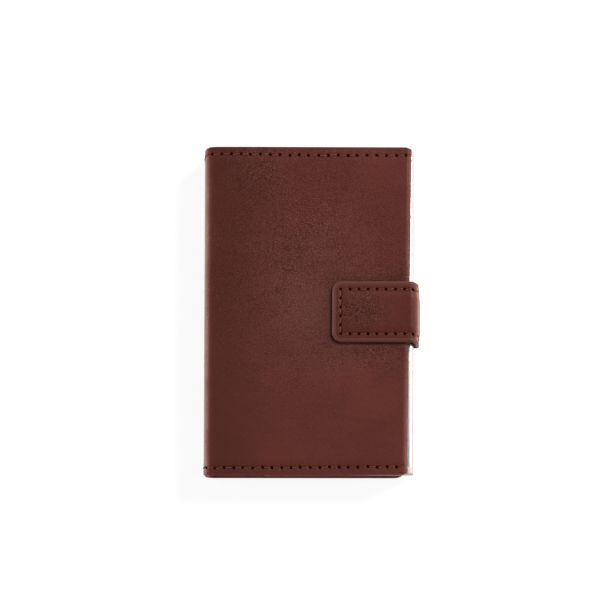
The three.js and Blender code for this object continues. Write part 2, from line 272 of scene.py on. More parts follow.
def edge_rows(half, fine, coarse):
    """Rows across a sheet: at these distances from both edges, then one every coarse step in the middle."""
    side, last = [0.0, *fine[:-1]], fine[-1]
    middle = np.linspace(-half + last, half - last, max(2, int((2 * half - 2 * last) / coarse) + 1))
    return sorted([-half + e for e in side] + list(middle) + [half - e for e in side])


def grid_shares(bm):
    """Where each point of a flat grid lies, as shares of the grid's size."""
    flat = np.array([vert.co[:] for vert in bm.verts])
    low, high = flat.min(axis=0), flat.max(axis=0)
    return (flat - low) / np.maximum(high - low, TINY)


# Distances from an edge at which a sheet has rows of points
EDGE_STEPS = [MM * e for e in (0.06, 0.16, 0.3, 0.5, 0.8, 1.1)]
LINING_ROWS = [MM * e for e in (0.06, 0.16, 0.3, 0.6, 1.2, 1.8, 2.3, 2.8, 3.5, 4.5, 6.0)]
STRAP_ROWS = [MM * e for e in (
    0.05, 0.12, 0.22, 0.36, 0.55, 0.8, 1.1, 1.5, 1.9, 2.2, 2.4, 2.55, 2.7, 2.85, 3.0, 3.2, 3.5, 3.9, 4.4,
)]
SEAM_ROWS = [MM * e for e in (
    0.06, 0.16, 0.3, 0.5, 0.8, 1.1, 1.4, 1.65, 1.85, 2.0, 2.15, 2.3, 2.45, 2.6, 2.75, 2.95, 3.2, 3.6, 4.2,
    5.0, 6.0, 7.5, 9.5, 12.0,
)]
SEAM_COLUMNS = [*EDGE_STEPS, 1.5 * MM, 2.0 * MM]
COLUMNS_PER_STITCH = 10
PLAIN_GRAIN = 0.45


class Sheet:
    """A piece of leather or lining. It is cut, edged and pressed flat, and then folded along its line."""

    def __init__(self, columns, rows, thickness):
        self.bm = bmesh.new()
        bmesh.ops.create_grid(self.bm, x_segments=len(columns) - 1, y_segments=len(rows) - 1, size=0.5)
        made = bmesh.ops.extrude_face_region(self.bm, geom=self.bm.faces[:], use_keep_orig=True)
        backs = {item for item in made["geom"] if isinstance(item, bmesh.types.BMVert)}
        share = grid_shares(self.bm)
        self.along = np.interp(share[:, 0], np.linspace(0, 1, len(columns)), columns)
        self.across = np.interp(share[:, 1], np.linspace(0, 1, len(rows)), rows)
        self.is_back = np.array([vert in backs for vert in self.bm.verts])
        self.lift = np.where(self.is_back, -thickness, 0.0)
        self.ends = (columns[0], columns[-1])
        self.sides = (rows[0], rows[-1])
        # Besides edges, holes and grain, the masks hold painted shade with darker patches, a painted broad
        # sheen and a painted highlight at bends
        self.masks = {name: np.zeros(len(share)) for name in ("edge", "hole", "wear", "pale", "polish")}
        self.masks["grain"] = np.full(len(share), PLAIN_GRAIN)

    def from_side(self):
        return np.minimum(self.across - self.sides[0], self.sides[1] - self.across)

    def on_face(self, values):
        """These values on the face, and nought on the back."""
        return np.where(self.is_back, 0.0, values)

    def round_off(self, free, corner, radius, back_radius):
        """Rounds the corners at the free ends, and the cut edge all round but at the ends that are joined."""
        from_side = self.from_side()
        away = from_side.copy()
        for is_free, end, inward in zip(free, self.ends, (1.0, -1.0)):
            if not is_free:
                continue
            from_end = inward * (self.along - end)
            if corner > 0.0:
                deep = np.clip(corner - from_side, 0.0, corner)
                drawn = corner - np.sqrt(np.maximum(corner**2 - deep**2, 0.0))
                from_end = from_end + drawn * (1.0 - ramp(from_end, 2 * corner, 6 * corner))
                self.along = end + inward * from_end
            in_corner = (from_side < corner) & (from_end < corner)
            round_way = corner - np.hypot(corner - from_end, corner - from_side)
            away = np.minimum(away, np.where(in_corner, round_way, np.minimum(from_side, from_end)))
        away = np.maximum(away, 0.0)
        for is_side, size, sign in ((~self.is_back, radius, -1.0), (self.is_back, back_radius, 1.0)):
            deep = np.clip(size - away, 0.0, size)
            self.lift += np.where(is_side, sign * (size - np.sqrt(np.maximum(size**2 - deep**2, 0.0))), 0.0)
        self.masks["edge"] = np.clip(1.0 - away / max(1.5 * radius, TINY), 0.0, 1.0)
        self.away = away
        return self

    def press(self, distance, width, depth):
        """Presses a soft line into the face, by the distance of each point from that line."""
        self.lift -= self.on_face(depth * hump(distance, width))

    def punch(self, holes, length, width, depth):
        """Punches slanted holes into the face. Each is a place along, a place across and a turn."""
        steepness = 1.25
        for along, across, turn in holes:
            near = (np.abs(self.along - along) < length) & (np.abs(self.across - across) < length)
            near &= ~self.is_back
            step, side = self.along[near] - along, self.across[near] - across
            a = step * math.cos(turn) + side * math.sin(turn)
            b = side * math.cos(turn) - step * math.sin(turn)
            pit = np.clip(steepness * (1.0 - (2 * a / length) ** 2 - (2 * b / width) ** 2), 0.0, 1.0)
            self.lift[near] -= depth * smooth(pit)
            self.masks["hole"][near] = np.maximum(self.masks["hole"][near], pit)

    def ripple(self, calm, depth, size, seed, fade=4 * MM):
        """Lowers the face by slow, uneven amounts, as handled hide lies, but not by its edges or by calm."""
        share = smooth(self.away / fade) * ramp(np.abs(self.along - calm), MM, 11 * MM)
        fineness, fine_share, fine_seed = 2.3, 0.4, seed + 5.0
        for i, (a, b, back) in enumerate(zip(self.along / size, self.across / size, self.is_back)):
            if not back:
                value = noise.noise(Vector((a, b, seed)))
                value += fine_share * noise.noise(Vector((fineness * a, fineness * b, fine_seed)))
                self.lift[i] -= depth * share[i] * (0.5 + 0.5 * value)

    def made(self, name, place, materials):
        """The sheet as an object. place turns flat points into points on the wallet."""
        for vert, point in zip(self.bm.verts, place(self.along, self.across, self.lift)):
            vert.co = point
        bmesh.ops.recalc_face_normals(self.bm, faces=self.bm.faces[:])
        mesh = bpy.data.meshes.new(name)
        self.bm.to_mesh(mesh)
        self.bm.free()
        for label, values in self.masks.items():
            mesh.attributes.new(label, "FLOAT", "POINT").data.foreach_set("value", values.astype(np.float32))
        corners = np.zeros(len(mesh.loops), np.int32)
        mesh.loops.foreach_get("vertex_index", corners)
        flat = np.column_stack([self.along, self.across])[corners] / MM
        mesh.uv_layers.new(name="hide").data.foreach_set("uv", flat.astype(np.float32).ravel())
        is_back = self.is_back[corners].reshape(-1, 4).all(axis=1)
        slots = np.where(is_back, len(materials) - 1, 0).astype(np.int32)
        mesh.polygons.foreach_set("material_index", slots)
        return finished(name, mesh, materials)


def finished(name, mesh, materials, sharp=40):
    """The mesh as a smooth object with its materials. Edges turned further than sharp stay sharp."""
    mesh.polygons.foreach_set("use_smooth", np.ones(len(mesh.polygons), bool))
    mesh.set_sharp_from_angle(angle=math.radians(sharp))
    mesh.validate()
    made = bpy.data.objects.new(name, mesh)
    bpy.context.scene.collection.objects.link(made)
    for material in materials:
        mesh.materials.append(material)
    return made


# Materials

# Colours that the leather is mixed with: a painted highlight on the tops of open grain, a painted broad sheen
# where it is pale, a painted highlight where a bend is seen edge-on, and the tint of that bend's sheen
GRAIN_TOP_HIGHLIGHT = (0.25, 0.075, 0.055, 1.0)
PAINTED_SHEEN_COLOR = (0.26, 0.12, 0.095, 1.0)
RIM_HIGHLIGHT_COLOR = (0.50, 0.27, 0.24, 1.0)
SHEEN_COLOR = (1.0, 0.70, 0.64, 1.0)

# How strongly each effect tints the leather
CLOUD_SHARE = 0.30
STREAK_SHARE = 0.14
GRAIN_TOP_SHARE = 0.32
CREASE_SHARE = 0.95
RIM_HIGHLIGHT_SHARE = 0.6

# Shine of waxed leather, and how much clouds and creases take from it
WAX_SHINE = 0.235
CLOUD_DULLS = 0.05
CREASE_DULLS = 0.11


class Graph:
    """Adds nodes to a tree, each with its settings and what feeds its inputs."""

    def __init__(self, tree):
        self.tree = tree

    def add(self, kind, inputs=None, **changes):
        node = self.tree.nodes.new("ShaderNode" + kind)
        for key, value in changes.items():
            setattr(node, key, value)
        for key, value in (inputs or {}).items():
            self.feed(node.inputs[key], value)
        return node

    def feed(self, socket, value):
        if isinstance(value, bpy.types.NodeSocket):
            self.tree.links.new(value, socket)
        else:
            socket.default_value = value

    def math(self, operation, first, *others):
        for other in others:
            first = self.add("Math", {0: first, 1: other}, operation=operation).outputs[0]
        return first

    def times(self, *values):
        return self.math("MULTIPLY", *values)

    def plus(self, *values):
        return self.math("ADD", *values)

    def minus(self, *values):
        return self.math("SUBTRACT", *values)

    def mix(self, share, a, b):
        node = self.add("Mix", data_type="RGBA", blend_type="MIX")
        for index, value in ((0, share), (6, a), (7, b)):
            self.feed(node.inputs[index], value)
        return node.outputs[2]

    def remap(self, value, low, high, to_low=0.0, to_high=1.0):
        inputs = {"Value": value, "From Min": low, "From Max": high, "To Min": to_low, "To Max": to_high}
        return self.add("MapRange", inputs, interpolation_type="SMOOTHSTEP").outputs[0]

    def mapping(self, place, scale, degrees=0.0):
        inputs = {"Vector": place, "Scale": scale, "Rotation": (0, 0, math.radians(degrees))}
        return self.add("Mapping", inputs).outputs[0]

    def noise(self, place, scale, detail, roughness=0.5):
        inputs = {"Vector": place, "Scale": scale, "Detail": detail, "Roughness": roughness}
        return self.add("TexNoise", inputs).outputs

    def attribute(self, name):
        return self.add("Attribute", attribute_name=name).outputs["Fac"]

    def group(self, name, inputs):
        return self.add("Group", inputs, node_tree=bpy.data.node_groups[name]).outputs

    def bump(self, shader, height, distance, strength=1.0):
        inputs = {"Height": height, "Strength": strength, "Distance": distance}
        self.feed(shader["Normal"], self.add("Bump", inputs).outputs[0])


def new_group(name, sizes, outputs):
    """A node group that takes a place and some sizes, and puts out plain values."""
    tree = bpy.data.node_groups.new(name, "ShaderNodeTree")
    tree.interface.new_socket(name="Vector", in_out="INPUT", socket_type="NodeSocketVector")
    for label, size in sizes.items():
        socket = tree.interface.new_socket(name=label, in_out="INPUT", socket_type="NodeSocketFloat")
        socket.default_value = size
    for label in outputs:
        tree.interface.new_socket(name=label, in_out="OUTPUT", socket_type="NodeSocketFloat")
    start = tree.nodes.new("NodeGroupInput").outputs
    end = tree.nodes.new("NodeGroupOutput").inputs
    return Graph(tree), start, end


def grain_group():
    """Fine pebbled grain: cells of a size in millimetres, with their creases, some of them broken off."""
    g, start, end = new_group("hide_grain", {"Cell": 0.8}, ["Height", "Crease"])
    warp = g.noise(start["Vector"], 0.55, 2.0)["Color"]
    warped = g.add("VectorMath", {0: warp, "Scale": 1.6}, operation="SCALE").outputs[0]
    moved = g.add("VectorMath", {0: start["Vector"], 1: warped}, operation="ADD").outputs[0]
    moved = g.mapping(moved, (0.76, 1.3, 1), -38)
    scale = g.math("DIVIDE", 1.0, start["Cell"])
    cells = g.add("TexVoronoi", {"Vector": moved, "Scale": scale}, feature="DISTANCE_TO_EDGE")
    pebble = g.remap(cells.outputs["Distance"], 0.0, 0.3)
    fine = g.noise(moved, g.times(scale, 2.7), 3.0, 0.6)["Fac"]
    g.feed(end["Height"], g.plus(g.times(pebble, 0.55), g.times(fine, 0.6)))
    broken = g.remap(fine, 0.3, 0.62, 0.35, 1.0)
    g.feed(end["Crease"], g.times(g.minus(1.0, pebble), broken))


def tone_group():
    """Slow, uneven colour of a dyed and waxed hide, with faint slanting streaks."""
    g, start, end = new_group("hide_tone", {"Size": 17.0}, ["Cloud", "Streak"])
    cloud = g.noise(start["Vector"], g.math("DIVIDE", 1.0, start["Size"]), 4.0, 0.6)["Fac"]
    g.feed(end["Cloud"], g.remap(cloud, 0.36, 0.64))
    streak = g.noise(g.mapping(start["Vector"], (0.22, 0.9, 1), -20), 0.55, 4.0, 0.7)["Fac"]
    g.feed(end["Streak"], g.remap(streak, 0.4, 0.62))


def line_group():
    """Fine drawn lines along Y, as on extruded and brushed metal, with sparse small marks."""
    g, start, end = new_group("drawn_lines", {}, ["Line", "Mark"])
    g.feed(end["Line"], g.noise(g.mapping(start["Vector"], (9.0, 0.12, 9.0)), 1.0, 4.0, 0.7)["Fac"])
    g.feed(end["Mark"], g.remap(g.noise(start["Vector"], 0.35, 5.0, 0.75)["Fac"], 0.58, 0.72))


def speckle_group():
    """Fine speckle of moulded plastic, board and fibre, with slow patches."""
    g, start, end = new_group("speckle", {"Size": 0.3}, ["Height", "Patch"])
    g.feed(end["Height"], g.noise(start["Vector"], g.math("DIVIDE", 1.0, start["Size"]), 3.0, 0.65)["Fac"])
    g.feed(end["Patch"], g.remap(g.noise(start["Vector"], 0.12, 3.0)["Fac"], 0.35, 0.65))


def new_material(name, **constants):
    """A material with its Principled shader, whose plain numbers are set on the shader itself."""
    material = bpy.data.materials.new(name)
    material.use_nodes = True
    shader = material.node_tree.nodes["Principled BSDF"]
    for key, value in constants.items():
        shader.inputs[key.replace("_", " ").title().replace("Ior", "IOR")].default_value = value
    return Graph(material.node_tree), shader.inputs


def in_millimetres(g):
    return g.mapping(g.add("TexCoord").outputs["Object"], (1 / MM, 1 / MM, 1 / MM))


def darker(color, share):
    return (color[0] * share, color[1] * share, color[2] * share, 1.0)


def leather_material(name, color, edge, cell, relief, roughness):
    """Grain-side leather. The sheet's masks place its holes, edges, grain, painted shade with darker patches,
    a painted broad sheen, and a painted highlight at bends seen edge-on.
    """
    deep = tuple(settings("leather").deep_color)
    g, shader = new_material(name, coat_roughness=0.25, sheen_roughness=0.35, sheen_tint=SHEEN_COLOR)
    place = g.add("UVMap", uv_map="hide").outputs["UV"]
    grain = g.group("hide_grain", {"Vector": place, "Cell": cell})
    tone = g.group("hide_tone", {"Vector": place})
    rim = g.attribute("edge")
    facing = g.add("LayerWeight", {"Blend": 0.5}).outputs["Facing"]
    # Where a bend is seen edge-on, its colour gets a painted highlight and the shader gets sheen
    polish = g.times(g.attribute("polish"), g.remap(facing, 0.2, 0.75))
    pricked = g.remap(g.attribute("hole"), 0.0, 0.3)
    opened = g.times(g.attribute("grain"), g.plus(0.65, g.times(tone["Streak"], 0.35)))
    tops = g.times(g.minus(1.0, grain["Crease"]), opened, GRAIN_TOP_SHARE)
    creases = g.times(grain["Crease"], opened, CREASE_SHARE)
    hue = color
    for share, other in (
        (g.times(tone["Cloud"], CLOUD_SHARE), deep),
        (g.times(tone["Streak"], STREAK_SHARE), deep),
        # A painted highlight on the tops of open grain
        (tops, GRAIN_TOP_HIGHLIGHT),
        # Creases darker: partly their own colour, partly painted shade
        (creases, darker(deep, 0.75)),
        # Painted shade, and darker patches
        (g.attribute("wear"), deep),
        # A painted broad sheen
        (g.attribute("pale"), PAINTED_SHEEN_COLOR),
        # A painted highlight where a bend is seen edge-on
        (g.times(polish, RIM_HIGHLIGHT_SHARE), RIM_HIGHLIGHT_COLOR),
        (g.remap(rim, 0.0, 0.6), edge),
        # Holes darker: painted shade in them
        (pricked, darker(deep, 0.72)),
    ):
        hue = g.mix(share, hue, other)
    g.feed(shader["Base Color"], hue)
    rough = g.plus(roughness, g.times(tone["Cloud"], 0.1), g.times(grain["Crease"], 0.12), g.times(rim, 0.15))
    g.feed(shader["Roughness"], g.math("MAXIMUM", rough, pricked))
    whole = g.minus(1.0, pricked)
    shine = g.minus(WAX_SHINE, g.times(tone["Cloud"], CLOUD_DULLS), g.times(creases, CREASE_DULLS))
    g.feed(shader["Specular IOR Level"], g.times(whole, shine))
    g.feed(shader["Coat Weight"], g.times(whole, 0.04))
    g.feed(shader["Sheen Weight"], polish)
    g.bump(shader, g.times(grain["Height"], g.minus(1.0, g.remap(rim, 0.0, 0.5)), opened), relief)


def flesh_material(name, color):
    """Flesh side of the leather: matt, fibrous and paler."""
    g, shader = new_material(name, roughness=0.92, specular_ior_level=0.2)
    speckle = g.group("speckle", {"Vector": in_millimetres(g), "Size": 0.25})
    g.feed(shader["Base Color"], g.mix(speckle["Patch"], color, darker(color, 0.78)))
    g.bump(shader, speckle["Height"], 0.06 * MM)


def thread_material(name, color):
    """Waxed thread: two plies that wind round each other, by the thread's own map."""
    g, shader = new_material(name, roughness=0.6, specular_ior_level=0.2)
    place = g.add("UVMap", uv_map="hide").outputs["UV"]
    inputs = {"Vector": place, "Scale": 0.5, "Distortion": 0.4, "Detail": 1.0}
    ply = g.add("TexWave", inputs, bands_direction="DIAGONAL").outputs["Fac"]
    # The grooves between the plies are darker: painted shade
    g.feed(shader["Base Color"], g.mix(ply, darker(color, 0.55), color))
    g.bump(shader, ply, 0.05 * MM)


def metal_material(name, color, roughness):
    """Satin metal with drawn lines."""
    g, shader = new_material(name, metallic=1.0)
    lines = g.group("drawn_lines", {"Vector": in_millimetres(g)})
    g.feed(shader["Base Color"], g.mix(g.times(lines["Line"], 0.35), color, darker(color, 0.72)))
    g.feed(shader["Roughness"], g.plus(roughness, g.times(lines["Mark"], 0.12), g.times(lines["Line"], 0.1)))
    g.bump(shader, lines["Line"], 0.01 * MM, 0.6)


def plain_material(name, color, roughness, size, relief):
    """Moulded plastic, board or adhesive: a speckled surface with slow patches."""
    g, shader = new_material(name)
    speckle = g.group("speckle", {"Vector": in_millimetres(g), "Size": size})
    g.feed(shader["Base Color"], g.mix(g.times(speckle["Patch"], 0.4), color, darker(color, 0.7)))
    g.feed(shader["Roughness"], g.plus(roughness, g.times(speckle["Height"], 0.12)))
    g.bump(shader, speckle["Height"], relief, 0.8)


def get_materials():
    """The materials by name. They are made once."""
    if "outer leather" in bpy.data.materials:
        return bpy.data.materials
    for make_group in (grain_group, tone_group, line_group, speckle_group):
        make_group()
    leather = settings("leather")
    outer, dyed, edge = tuple(leather.color), tuple(leather.dyed_color), tuple(leather.edge_color)
    leather_material("outer leather", outer, dyed, cell=0.66, relief=0.12 * MM, roughness=0.38)
    leather_material("strap leather", darker(outer, 0.93), edge, cell=0.64, relief=0.10 * MM, roughness=0.38)
    lining = tuple(leather.lining_color)
    leather_material("lining leather", lining, edge, cell=0.6, relief=0.035 * MM, roughness=0.55)
    flesh_material("flesh side", (0.22, 0.105, 0.07, 1.0))
    thread_material("thread", tuple(settings("stitching").color))
    metal_material("satin aluminium", (0.66, 0.58, 0.55, 1.0), roughness=0.34)
    metal_material("steel", (0.55, 0.56, 0.57, 1.0), roughness=0.3)
    for name, color, roughness, size, relief in (
        ("pale plastic", (0.52, 0.45, 0.40, 1.0), 0.45, 0.22, 0.02),
        ("moulded plastic", (0.018, 0.018, 0.019, 1.0), 0.42, 0.22, 0.02),
        ("board", (0.30, 0.21, 0.13, 1.0), 0.85, 0.4, 0.04),
        ("adhesive", (0.62, 0.60, 0.55, 1.0), 0.6, 0.5, 0.02),
    ):
        plain_material(name, color, roughness, size, relief * MM)
    return bpy.data.materials


def skins(face, back="flesh side"):
    materials = get_materials()
    return [materials[face], materials[back]]


# The jacket: one hide from the back round the spine onto the cover

# From the mouth of the front card slot to the jacket's cut edge inside the cover
MOUTH_STEP = 5 * MM

# Where the last hole of each seam is on the cover: upper seam, lower seam
LAST_HOLES_X = (29.2 * MM, 27.4 * MM)

# Least distance from a cut end to a hole: at the jacket's back, and at the ends that are hidden, which
# are those of its turned panel and of the strap
HOLE_TO_BACK_END = 5.5 * MM
HOLE_TO_HIDDEN_END = 2 * MM

# How far a hole is off its even place, and how fast that changes from hole to hole
HOLE_WANDER = 0.09 * MM
WANDER_RATES = (2.3, 1.1)

# How far a seam wanders across, over which lengths, how far the upper one sags on the cover, and how far
# to both sides of the seam the leather goes with it
SEAM_WANDER = 0.08 * MM
WANDER_LENGTHS = (1.7 * MM, 0.9 * MM)
SEAM_SAG = 0.45 * MM
SEAM_REACH = 1.2 * MM

# How far the seams draw the jacket in at the spine: at the top, at the bottom, and over what length
DRAWN_TOP = 2.0 * MM
DRAWN_BOTTOM = 0.25 * MM
DRAWN_LENGTH = 7.2 * MM

# Soft patches on the cover, by their middle and reach in millimetres: painted shade at the upper left, a
# darker patch lower down, open grain, and a painted broad sheen in the middle
UPPER_SHADE = (-15, 42, 12, 20)
LOWER_DARKENING = (-3, -36, 15, 17)
OPEN_GRAIN = (-6, 16, 30, 38)
CORNER_GRAIN = (-17, 42, 12, 15)
PAINTED_SHEEN_MIDDLE = (0, 2, 14, 18)

BACK_RIPPLE = {"depth": 0.06 * MM, "size": 18 * MM, "seed": 3.0}
COVER_RIPPLE = {"depth": 0.16 * MM, "size": 17 * MM, "seed": 11.0}
TAB_RIPPLE = {"depth": 0.05 * MM, "size": 9 * MM, "seed": 21.0, "fade": 3 * MM}


def jacket_line():
    leather = settings("leather")
    bend, turned = leather.bend_radius, leather.turned_radius
    line = FoldLine(BACK_EDGE_X, 0.0, 180)
    line.run(BACK_EDGE_X - SPINE_X - bend).turn(bend, -90)
    line.run(COVER_TOP - 2 * bend).turn(bend, -90)
    line.run(EDGE_X - turned - SPINE_X - bend).turn(turned, -90)
    line.run(COVER_TOP - COVER_INNER - 2 * turned).turn(turned, -90)
    return line.run(EDGE_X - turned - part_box("slot_panel_front")[0].x - MOUTH_STEP)


def line_marks(line):
    """Distances along the jacket of the spine's middle, the cover's start and its two turned corners."""
    return {
        "middle": line.middle_of(2),
        "cover": line.start_of(4),
        "turn": line.start_of(5),
        "panel": line.start_of(8),
    }


def cover_place(line, x):
    """Distance along the jacket of a place on the front of the cover."""
    return line_marks(line)["cover"] + x - (SPINE_X + settings("leather").bend_radius)


def panel_place(line, x):
    """Distance along the jacket of a place on its turned panel."""
    return line_marks(line)["panel"] + EDGE_X - settings("leather").turned_radius - x


def unevenness(i):
    """How far hole number i of a seam is off its even place, as a hand-fed machine sews it."""
    return HOLE_WANDER * sum(math.sin(rate * i) for rate in WANDER_RATES)


def jacket_holes(line, last_x):
    """Places along the jacket of the holes of a seam: over back, spine and cover, and then on the panel."""
    pitch = settings("stitching").pitch
    last, first = cover_place(line, last_x), panel_place(line, last_x)
    outside = [last - pitch * i + unevenness(i) for i in range(int((last - HOLE_TO_BACK_END) / pitch) + 1)]
    inside = [first + pitch * i for i in range(int((line.length - HOLE_TO_HIDDEN_END - first) / pitch) + 1)]
    return outside[::-1], inside


def jacket_rows(line, half):
    """Both seams of the jacket: each with its place across, and its holes outside and inside."""
    inset = settings("stitching").inset
    sides = zip((1, -1), LAST_HOLES_X)
    return [(side * (half - inset), *jacket_holes(line, last_x)) for side, last_x in sides]


def drawn_in(line, half=COVER_HALF):
    """How a sheet of this half width widens to the cover's at the spine, where its seams draw it in."""
    middle = line_marks(line)["middle"]

    def draw(along, across):
        widened = across * (1.0 + (COVER_HALF / half - 1.0) * ramp(along, middle - 12 * MM, middle - 2 * MM))
        near = hump(along - middle, DRAWN_LENGTH, power=4)
        high = DRAWN_TOP * near * ramp(widened, 24 * MM, 48 * MM)
        low = DRAWN_BOTTOM * near * ramp(-widened, 30 * MM, 50 * MM)
        wander = SEAM_WANDER * sum(np.sin(along / length) for length in WANDER_LENGTHS)
        sagging = ramp(along, cover_place(line, -24 * MM), cover_place(line, -4 * MM))
        sag = SEAM_SAG * sagging * (widened > 0.0)
        from_seam = COVER_HALF - settings("stitching").inset - np.abs(widened)
        return widened - high + low + (wander - sag) * hump(from_seam, SEAM_REACH)

    return draw


def settle_cover(points):
    """The cover as it lies: thinner along its sewn edges, leaning a little, and bowed down to the spine."""
    points = points.copy()
    x, y, z = points.T
    fold_x = SPINE_X + settings("leather").bend_radius
    is_cover = ramp(z, 9 * MM, 12.1 * MM)
    sewn = smooth((5 * MM - (COVER_HALF - np.abs(y))) / (4.5 * MM))
    depth = np.clip((COVER_TOP - z) / (COVER_TOP - COVER_INNER), 0.0, 1.0)
    reach = (x - fold_x) / (EDGE_X - fold_x)
    share = is_cover * np.clip(reach, 0.0, 1.1)
    squeeze, sink, bow, taper = 1.7 * MM, 0.45 * MM, 0.25 * MM, 0.0045
    lean, lean_change = -0.35 * MM, 0.55 * MM
    longer, longer_spine = 0.14 * MM, 0.16 * MM
    points[:, 2] += is_cover * sewn * (squeeze * depth - sink)
    points[:, 2] -= is_cover * (1.0 - depth) * bow * hump(x - fold_x, 7.5 * MM)
    points[:, 0] += share * (lean + lean_change * y / COVER_HALF)
    points[:, 1] -= share * taper * y
    drop = longer + longer_spine * (1.0 - ramp(reach, 0.35, 0.95))
    points[:, 1] -= is_cover * drop * smooth(-y / COVER_HALF)
    return points


def jacket_sheet(line, start, end, half, free, corner):
    """Part of the jacket, flat, with its edges worked and its seams pressed and punched."""
    leather, stitching = settings("leather"), settings("stitching")
    rows = jacket_rows(line, half)
    upper_first, lower_first = (outside[0] for _, outside, _ in rows)
    columns = spaced(start, end, stitching.pitch / COLUMNS_PER_STITCH, upper_first, SEAM_COLUMNS, free)
    sheet = Sheet(columns, edge_rows(half, SEAM_ROWS, 3 * MM), leather.thickness)
    sheet.round_off(free, corner, leather.edge_round, 0.5 * leather.edge_round)
    seam = sheet.from_side() - stitching.inset
    sheet.press(seam, width=0.55 * MM, depth=0.10 * MM)
    first = np.where(sheet.across > 0.0, upper_first, lower_first)
    phase = 2 * math.pi * (sheet.along - first) / stitching.pitch
    swell, swell_away, swell_width = 0.07 * MM, 0.95 * MM, 0.5 * MM
    between = 0.5 - 0.5 * np.cos(phase)
    sheet.lift += sheet.on_face(swell * between * hump(np.abs(seam) - swell_away, swell_width))
    holes = []
    for across, outside, inside in rows:
        holes += [(along, across, stitching.slant) for along in outside + inside if start < along < end]
    sheet.punch(holes, stitching.hole_length, stitching.hole_width, depth=0.55 * MM)
    return sheet


def round_turned_corners(sheet, line, corner):
    """Draws the sides in a little where the leather turns round the free edge, so its corners are round."""
    turn, panel = line_marks(line)["turn"], line_marks(line)["panel"]
    away = np.abs(sheet.along - (turn + panel) / 2) / (0.5 * (panel - turn))
    drawn = 0.7 * corner * (1.0 - ramp(away, 0.55, 1.15))
    near = 1.0 - ramp(sheet.from_side(), 2 * MM, 10 * MM)
    sheet.across -= np.sign(sheet.across) * drawn * near


def shade_cover(sheet, line):
    """Sets the cover's masks: painted shade by the spine and shadow round the tab, grain, a painted sheen and
    a painted bend highlight.
    """
    x, y = sheet.along - cover_place(line, 0.0), sheet.across
    tab_end = sheet.along - cover_place(line, TAB_END_X)
    in_tab = np.minimum(y - TAB_LOW, TAB_HIGH - y)
    far_away, is_inside = 1.0, sheet.along > cover_place(line, EDGE_X + 5 * MM)
    reach = np.where(is_inside, far_away, np.maximum(-tab_end, 0.0))
    away = np.hypot(reach, np.maximum(-in_tab, 0.0))
    bare = 1.0 - 0.8 * smooth(np.minimum(tab_end, in_tab) / (1.5 * MM))

    beside = x - (SPINE_X + 4 * MM)
    # A painted shade on the cover beside the spine
    spine_shade = 0.55 * hump(np.maximum(beside, 0.0), 13 * MM) * hump(np.maximum(-beside, 0.0), 2 * MM)
    # A painted shadow round the tab, strong at its edge and fading outwards, and weaker under it
    tab_shadow = bare * (0.5 * np.exp(-away / (0.9 * MM)) + 0.12 * np.exp(-away / (4 * MM)))
    # All the darkening: painted shade by the spine and at the upper left, a darker patch lower down, and the
    # painted shadow round the tab
    cover_darkening = spine_shade + 0.1 * patch(x, y, UPPER_SHADE) + 0.1 * patch(x, y, LOWER_DARKENING) + tab_shadow
    sheet.masks["wear"] = sheet.on_face(cover_darkening)

    # The bend, where it is seen edge-on, gets a painted highlight
    lit_bend = line_marks(line)["cover"] - 3.4 * MM
    sheet.masks["polish"] = hump(sheet.along - lit_bend, 1.7 * MM)
    # A painted broad sheen in the middle, the lower half a little paler, and a faint paleness all over
    sheet.masks["pale"] = 0.015 + 0.1 * patch(x, y, PAINTED_SHEEN_MIDDLE) + 0.025 * smooth(-y / (20 * MM))
    grains = (patch(x, y, OPEN_GRAIN), 1.2 * patch(x, y, CORNER_GRAIN), bare * hump(away, 9 * MM))
    sheet.masks["grain"] = 0.15 + 0.85 * np.maximum.reduce(grains)
    sheet.press(away, width=7 * MM, depth=0.12 * MM)


class WALLET_OT_jacket(bpy.types.Operator):
    """Builds the outer leather: back, spine and cover, with its turned edge"""

    bl_idname = "wallet.jacket"
    bl_label = "Jacket"

    def execute(self, context):
        leather, hide = settings("leather"), skins("outer leather")
        line = jacket_line()
        middle, panel = line_marks(line)["middle"], line_marks(line)["panel"]

        sheet = jacket_sheet(line, 0.0, middle, BACK_HALF, (True, False), leather.back_corner)
        sheet.ripple(middle, **BACK_RIPPLE)
        sheet.masks["grain"] = 0.15 + 0.35 * ramp(middle - sheet.along, 10 * MM, 40 * MM)
        sheet.press(sheet.from_side() - settings("stitching").inset, width=0.6 * MM, depth=0.16 * MM)
        sheet.lift = np.where(sheet.is_back, sheet.lift, np.minimum(sheet.lift, 0.0))
        back = sheet.made("jacket_back", line.placer(draw=drawn_in(line, BACK_HALF)), hide)
        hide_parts("back_leather", "spine_leather")
        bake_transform(back)

        sheet = jacket_sheet(line, middle, line.length, COVER_HALF, (False, True), 0.0)
        round_turned_corners(sheet, line, leather.cover_corner)
        thinner = leather.thickness - leather.turned_thickness
        sheet.lift += np.where(sheet.is_back, thinner * ramp(sheet.along, panel - 5 * MM, panel), 0.0)
        sheet.ripple(middle, **COVER_RIPPLE)
        shade_cover(sheet, line)
        front = sheet.made("jacket_front", line.placer(settle_cover, drawn_in(line)), hide)
        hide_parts("cover_leather", "spine_leather")
        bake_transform(front)
        return {"FINISHED"}


# Linings and card slots


def lining_sheet(line, half, thickness, free, bend=None):
    """A lining, flat, with its edges worked. bend is where along it a bend starts and ends."""
    columns = spaced(0.0, line.length, 1.2 * MM, edges=EDGE_STEPS[:4], free=free)
    if bend:
        columns = sorted({*columns, *np.linspace(*bend, 10)})
    sheet = Sheet(columns, edge_rows(half, LINING_ROWS, 5 * MM), thickness)
    return sheet.round_off(free, 0.0, 0.2 * MM, 0.1 * MM)


